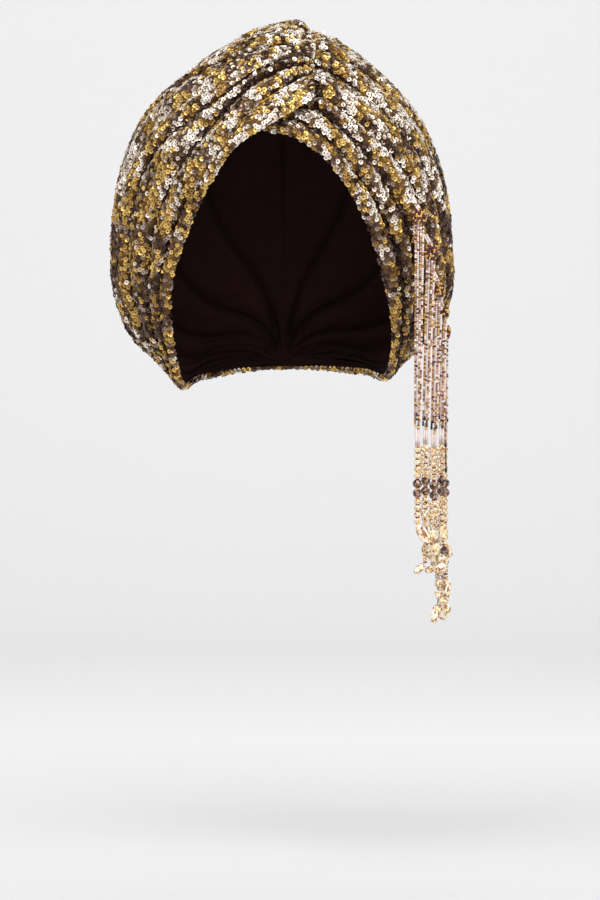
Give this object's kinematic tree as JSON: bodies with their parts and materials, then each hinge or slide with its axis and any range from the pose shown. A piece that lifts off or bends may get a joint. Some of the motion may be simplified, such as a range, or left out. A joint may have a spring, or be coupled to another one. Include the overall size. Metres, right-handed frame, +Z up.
{
  "type": "turban",
  "caption": "Draped head wrap of sequinned cloth in gathered folds, lapped above the brow, with a cluster of beaded tassels and crystal drops hanging beside the face.",
  "frame": {"origin": "inside of the crown, where the turban rests on top of the head, midway between its two sides", "axes": "+Z up, -Y the way the wearer faces, +X the wearer's left side, where the tassels hang"},
  "size_m": [0.214, 0.2231, 0.3732],
  "materials": {
    "sequin_cloth": "soft dark knit covered all over with small ring sequins in gold, gunmetal, silver and lilac grey",
    "seed_beads": "lined seed beads in bronze, garnet, gold and clear, glossy",
    "gold_glass": "faceted clear glass with a gold lining",
    "smoke_glass": "faceted smoky grey-brown glass",
    "crystal": "cut champagne crystal, polished"
  },
  "bodies": {
    "root": {"wrap_right": "sequin_cloth", "wrap_left": "sequin_cloth", "tassel_1": "seed_beads", "tassel_2": "seed_beads", "tassel_3": "seed_beads", "tassel_4": "seed_beads", "tassel_5": "seed_beads", "gold_beads_1_upper": "gold_glass", "gold_beads_2_upper": "gold_glass", "gold_beads_3_upper": "gold_glass", "gold_beads_4_upper": "gold_glass", "gold_beads_5_upper": "gold_glass", "smoke_bead_1_1": "smoke_glass", "smoke_bead_1_2": "smoke_glass", "smoke_bead_2_1": "smoke_glass", "smoke_bead_2_2": "smoke_glass", "smoke_bead_3_1": "smoke_glass", "smoke_bead_3_2": "smoke_glass", "smoke_bead_4_1": "smoke_glass", "smoke_bead_4_2": "smoke_glass", "smoke_bead_5_1": "smoke_glass", "smoke_bead_5_2": "smoke_glass", "gold_beads_1_lower_1": "gold_glass", "gold_beads_2_lower_1": "gold_glass", "gold_beads_3_lower_1": "gold_glass", "gold_beads_4_lower_1": "gold_glass", "gold_beads_5_lower_1": "gold_glass", "small_beads_2_lower_1": "gold_glass", "small_beads_3_lower_1": "gold_glass", "small_beads_3_lower_2": "gold_glass", "small_beads_4_lower_1": "gold_glass", "small_beads_5_lower_1": "gold_glass", "smoke_beads_4_lower_1": "smoke_glass", "leaf_drop_1_1": "crystal", "leaf_drop_2_1": "crystal", "leaf_drop_2_2": "crystal", "leaf_drop_2_3": "crystal", "leaf_drop_3_1": "crystal", "leaf_drop_3_2": "crystal", "leaf_drop_3_3": "crystal", "leaf_drop_4_1": "crystal", "leaf_drop_4_2": "crystal", "leaf_drop_4_3": "crystal", "leaf_drop_5_1": "crystal"}
  },
  "joints": []
}
